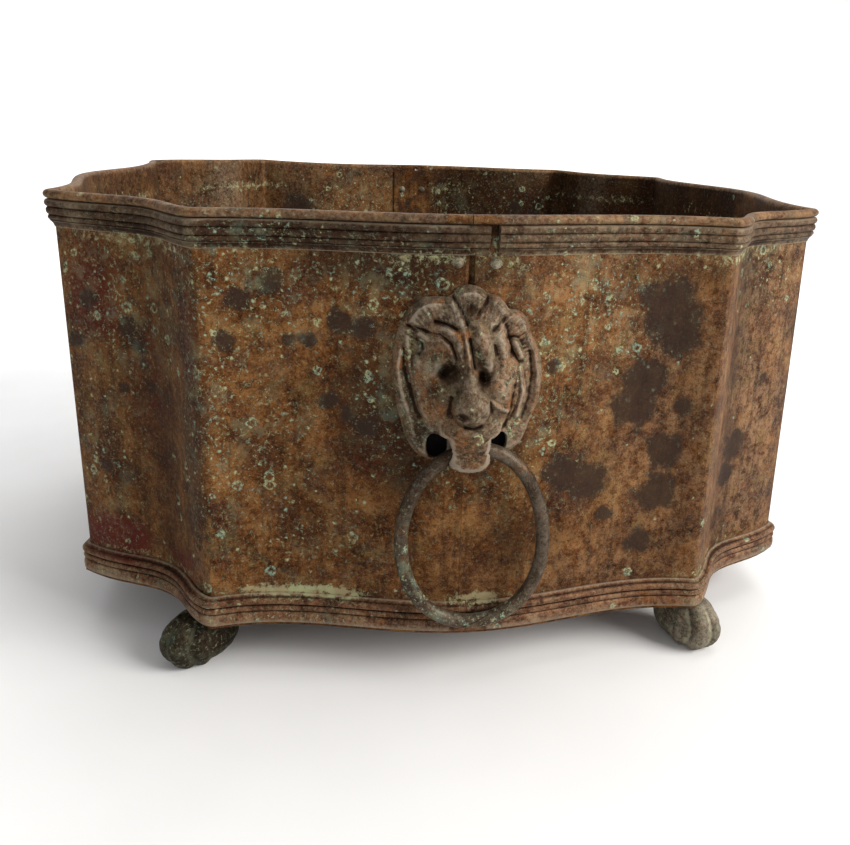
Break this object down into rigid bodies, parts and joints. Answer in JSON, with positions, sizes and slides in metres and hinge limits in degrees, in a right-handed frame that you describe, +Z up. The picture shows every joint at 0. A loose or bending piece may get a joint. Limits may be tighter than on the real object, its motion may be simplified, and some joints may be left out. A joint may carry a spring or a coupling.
{
  "type": "planter pot",
  "caption": "Serpentine sheet-metal planter with reeded rim and base, swinging ring handles in lion masks, and paw feet.",
  "frame": {"origin": "on the ground under the middle of the planter, level with the soles of the feet", "axes": "+Z up, +X to the right seen from the front, front mask and ring towards -Y"},
  "size_m": [0.305, 0.314, 0.163],
  "materials": {
    "wall": "brown patina with verdigris spots",
    "bands": "worn brown patina, verdigris in the grooves",
    "castings": "worn cast brass with patina in the hollows",
    "rings": "dull grey-brown, handled smooth",
    "fixings": "pale oxidised"
  },
  "bodies": {
    "pot": {"wall_left": "wall", "wall_right": "wall", "seam_strap_front": "wall", "seam_strap_back": "wall", "seam_rivets_front": "fixings", "seam_rivets_back": "fixings", "rim_band_left": "bands", "rim_band_right": "bands", "base_band_left": "bands", "base_band_right": "bands", "bottom_plate": "wall", "lion_mask_front": "castings", "lion_mask_back": "castings", "mask_screws_front": "fixings", "mask_screws_back": "fixings", "paw_foot_front_left": "castings", "paw_foot_front_right": "castings", "paw_foot_back_left": "castings", "paw_foot_back_right": "castings", "foot_screws": "fixings", "foot_washers": "fixings"},
    "ring_front": {"ring_handle_front": "rings", "ring_pin_front": "fixings"},
    "ring_back": {"ring_handle_back": "rings", "ring_pin_back": "fixings"}
  },
  "joints": [
    {"name": "ring_front_swing", "type": "hinge", "parent": "pot", "child": "ring_front", "pos_m": [0, -0.1461, 0.0885], "axis": [-1, 0, 0], "range_deg": [0, 120]},
    {"name": "ring_back_swing", "type": "hinge", "parent": "pot", "child": "ring_back", "pos_m": [0, 0.1461, 0.0885], "axis": [1, 0, 0], "range_deg": [0, 120]}
  ]
}
